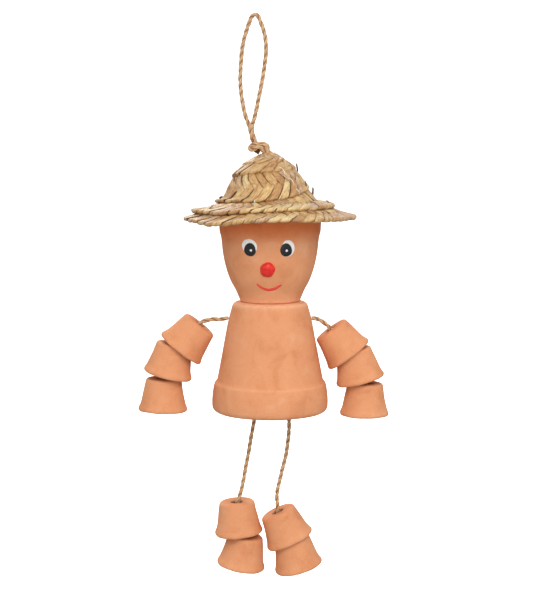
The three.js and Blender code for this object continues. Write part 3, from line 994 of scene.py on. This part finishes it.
def leaf_at(braid, start, travel, across, edge_waves, tilt, rise):
    """A point of a strand, from its place on the unfolded strand.

    travel is measured across the unfolded braid. The strand is folded over an edge of the braid every
    2 * QUARTER of it. It lies on top from the middle out to the edge, and underneath on the way back.
    """
    along = start + travel / math.tan(SLOPE) - across / math.sin(SLOPE)
    phase = np.mod(travel + QUARTER, 4 * QUARTER) - QUARTER
    rising = phase < QUARTER
    x = np.where(rising, phase, 2 * QUARTER - phase)
    way = np.where(rising, 1.0, -1.0)
    bend = np.clip((np.abs(x) - FLAT) / FOLD_HALF, 0, 1) * math.pi / 2
    rounding = 1 - (across / LEAF_HALF) ** 2
    stand = FOLD_DEPTH + edge_waves * rounding
    sideways = np.clip(x, -FLAT, FLAT) + np.sign(x) * stand * np.sin(bend)
    over = np.clip((2 * way * x - across / math.cos(SLOPE)) / RAMP, -1, 1)
    over = over * (1.5 - 0.5 * over**2) * np.cos(bend)
    roll = 1 + 0.5 * np.exp(-(((np.abs(x) - FLAT) / 2.6) ** 2))
    height = over * (LAYER * roll + 0.3 * rounding) + rise + tilt * across / LEAF_HALF
    return braid.at(along, sideways / BRAID_HALF, height)


def travel_stops(first, last):
    """Steps along a strand: wide on the flat, close together over the folds."""
    fold = FOLD_HALF * np.arange(3) / 3
    part = np.concatenate([-QUARTER + fold, np.linspace(-FLAT, FLAT, 15), QUARTER - fold[:0:-1]])
    count = np.arange(math.floor(first / (2 * QUARTER)), math.ceil(last / (2 * QUARTER)) + 1)
    stops = (part[None, :] + 2 * QUARTER * count[:, None]).ravel()
    return stops[(stops > first) & (stops < last)]


def add_strand(shape, braid, number):
    start = number * FOLD_PITCH
    tangent = math.tan(SLOPE)
    travel = travel_stops((BRAID_END - start) * tangent, (braid.length - BRAID_END - start) * tangent)
    part = np.floor((travel + HIDDEN) / (2 * QUARTER)).astype(int)
    part -= part.min()
    count = part.max() + 1
    tones = random.uniform(0.08, 1, count)
    # Each stretch of the strand has its own width, folds, tilt and rise, eased from one to the next
    width, waves, tilt, rise = (
        smoothed(random.uniform(low, high, count)[part], 5)[:, None]
        for low, high in ((0.86, 1.06), (0.1, 0.75), (-0.15, 0.4), (-0.3, 0.3))
    )
    around = np.arange(12) * TAU / 12
    # A lens-shaped section, blunt at its edges
    spread = np.sign(np.cos(around)) * np.abs(np.cos(around)) ** 0.8
    across = LEAF_HALF * width * spread[None, :]
    thick = LEAF_THICK * np.sin(around)[None, :]
    rows = np.broadcast_to(travel[:, None], across.shape)
    small = 0.05
    point = leaf_at(braid, start, rows, across, waves, tilt, rise)
    beside = leaf_at(braid, start, rows, across + small, waves, tilt, rise) - point
    ahead = leaf_at(braid, start, rows + small, across, waves, tilt, rise) - point
    normal = np.cross(ahead, beside)
    normal /= np.linalg.norm(normal, axis=2, keepdims=True) + 1e-9
    rings = point + thick[:, :, None] * normal
    # Near 1 at a strip's edges, which the straw paints darker as shade
    edge = np.abs(spread[None, :]) ** 6
    shape.grid(rings, travel / math.sin(SLOPE) + 400 * number, tone=tones[part], edge=edge)


def add_hat():
    surface = HatSurface()
    braid = Braid(surface)
    shape = Shape()
    for number in range(STRANDS):
        add_strand(shape, braid, number)
    add_stubs(shape, surface)
    place(shape.to_object("hat_braid", STRAW), "hat", "straw", "straw_hat")
    add_shade_sheet(braid)
    add_stitches(surface)


def add_stubs(shape, surface):
    """Cut ends of leaf where new ones were worked in: turns, radius and the way each leans."""
    stubs = [
        (1.97, 29.0, 1), (2.06, 27.0, 1), (1.42, 24.0, -1), (2.53, 34.0, -1), (3.02, 42.0, 1),
        (0.97, 20.0, 1), (2.62, 42.0, -1), (3.42, 48.0, -1), (1.72, 25.0, 1), (2.83, 38.0, 1),
    ]
    for turns, radius, way in stubs:
        u = surface.distance(radius)
        start, normal = surface.at(turns, u, 2.2)
        end, _ = surface.at(turns + way * 0.014, u - 4.2, 4.6)
        path = even_curve([tuple(start), tuple((start + end) / 2 + normal * 0.1), tuple(end)], 0.8)
        across = np.cross(end - start, normal)
        across /= np.linalg.norm(across)
        directions = (np.tile(across, (len(path), 1)), np.tile(normal, (len(path), 1)))
        sweep(shape, path, oval(1.5, 0.35, 8), 0.02, directions)


def add_shade_sheet(braid):
    """A dark sheet between the layers and under the crown, which closes the small gaps between strands:
    painted shade seen through them.
    """
    shape = Shape()
    along = np.arange(0, braid.length - 2, 2.0)
    columns = [braid.at(along, np.full(len(along), across), -0.05) for across in np.linspace(-0.92, 0.9, 7)]
    top = np.stack(columns, axis=1)
    under = top[:, ::-1] - np.array([0, 0, 0.2])
    shape.grid(np.concatenate([top, under], axis=1), along)
    crown = np.linspace(3.4, braid.surface.distance(34.5), 60)
    angle = np.linspace(0, 1, 97)[:-1]
    sheets = []
    for lift in (-2.3, -2.6):
        sheets.append([braid.surface.at(angle, np.full(96, u), lift)[0] for u in crown])
    both = np.array(sheets[0] + sheets[1][::-1] + sheets[0][:1])
    shape.grid(both, np.linspace(0, 10, len(both)), caps=False)
    place(shape.to_object("hat_shade_sheet", SHADE_SHEET), "hat", "straw")


def add_stitches(surface):
    """Pale sewing thread that shows where it crosses the rows: turns and radius at both ends."""
    shape = Shape()
    crossings = [
        (0.18, 18.5, 0.165, 21.6), (0.15, 23.2, 0.14, 25.8), (0.145, 27, 0.135, 28.6),
        (0.3, 33, 0.295, 36),
    ]
    for turns_a, radius_a, turns_b, radius_b in crossings:
        points = []
        for share in (0, 0.3, 0.7, 1):
            turns = turns_a + (turns_b - turns_a) * share
            u = surface.distance(radius_a + (radius_b - radius_a) * share)
            lift = 2.4 if share in (0, 1) else 3.7
            points.append(tuple(surface.at(turns, u, lift)[0]))
        sweep(shape, even_curve(points, 0.5), oval(0.2, 0.2, 6), 0.98)
    place(shape.to_object("hat_thread", WHITE), "hat", "straw")


# Room


def add_stage(name, mesh_faces, corners):
    """A white surface of the studio. It shows behind the figure, and the light comes past it."""
    n = Nodes(name, 0.95)
    n.set("Base Color", (0.9, 0.9, 0.9))
    n.set("Emission Color", (1, 1, 1))
    n.set("Emission Strength", 1)
    mesh = bpy.data.meshes.new(name)
    mesh.from_pydata(corners, [], mesh_faces)
    mesh.materials.append(n.material)
    stage = in_scene(name, mesh)
    stage.visible_diffuse = False
    stage.visible_glossy = False
    stage.visible_shadow = False


def add_floor_and_backdrop():
    """A pale floor well below the feet, inside a round backdrop."""
    floor_z, reach, sides, top = -0.46, 6.0, 48, 5.0
    ring = [(reach * math.cos(TAU * i / sides), reach * math.sin(TAU * i / sides)) for i in range(sides)]
    floor = [(x, y, floor_z) for x, y in ring]
    add_stage("studio_floor", [list(range(sides))], floor)
    wall = floor + [(x, y, top) for x, y in ring]
    faces = [(i, (i + 1) % sides, (i + 1) % sides + sides, i + sides) for i in range(sides)]
    add_stage("studio_backdrop", faces + [[i + sides for i in range(sides)]], wall)


def add_light(name, location, target, size, energy):
    data = bpy.data.lights.new(name, "AREA")
    data.shape = "DISK"
    data.size = size
    data.energy = energy
    light = in_scene(name, data)
    light.location = location
    direction = Vector(target) - Vector(location)
    light.rotation_euler = direction.to_track_quat("-Z", "Y").to_euler()


def add_room():
    add_floor_and_backdrop()
    world = bpy.data.worlds.new("studio")
    bpy.context.scene.world = world
    world.use_nodes = True
    tree = world.node_tree
    where = tree.nodes.new("ShaderNodeTexCoord")
    split = tree.nodes.new("ShaderNodeSeparateXYZ")
    ramp = tree.nodes.new("ShaderNodeMapRange")
    tree.links.new(where.outputs["Generated"], split.inputs[0])
    tree.links.new(split.outputs["Z"], ramp.inputs["Value"])
    for name, value in (("From Min", -1), ("To Min", 0.34), ("To Max", 0.8)):
        ramp.inputs[name].default_value = value
    background = tree.nodes["Background"]
    background.inputs["Color"].default_value = (1, 1, 1, 1)
    tree.links.new(ramp.outputs["Result"], background.inputs["Strength"])
    middle = (0.01, 0, -0.22)
    add_light("key", (0.22, -1.1, 0.55), middle, 0.7, 7.5)
    add_light("fill", (0.0, -1.4, -0.15), middle, 0.9, 3.2)
    add_light("back", (-0.4, 1.1, 0.7), middle, 0.8, 8)
    bpy.context.scene.view_settings.view_transform = "Standard"


add_camera()
add_loop()
add_main_cord()
for side in ("right", "left"):
    add_leg_cord(side)
    add_arm_cord(side)
    add_row(side, "arm", ("upper", "middle", "lower"))
    add_row(side, "foot", ("upper", "lower"))
add_torso()
add_head()
add_hat()
add_room()
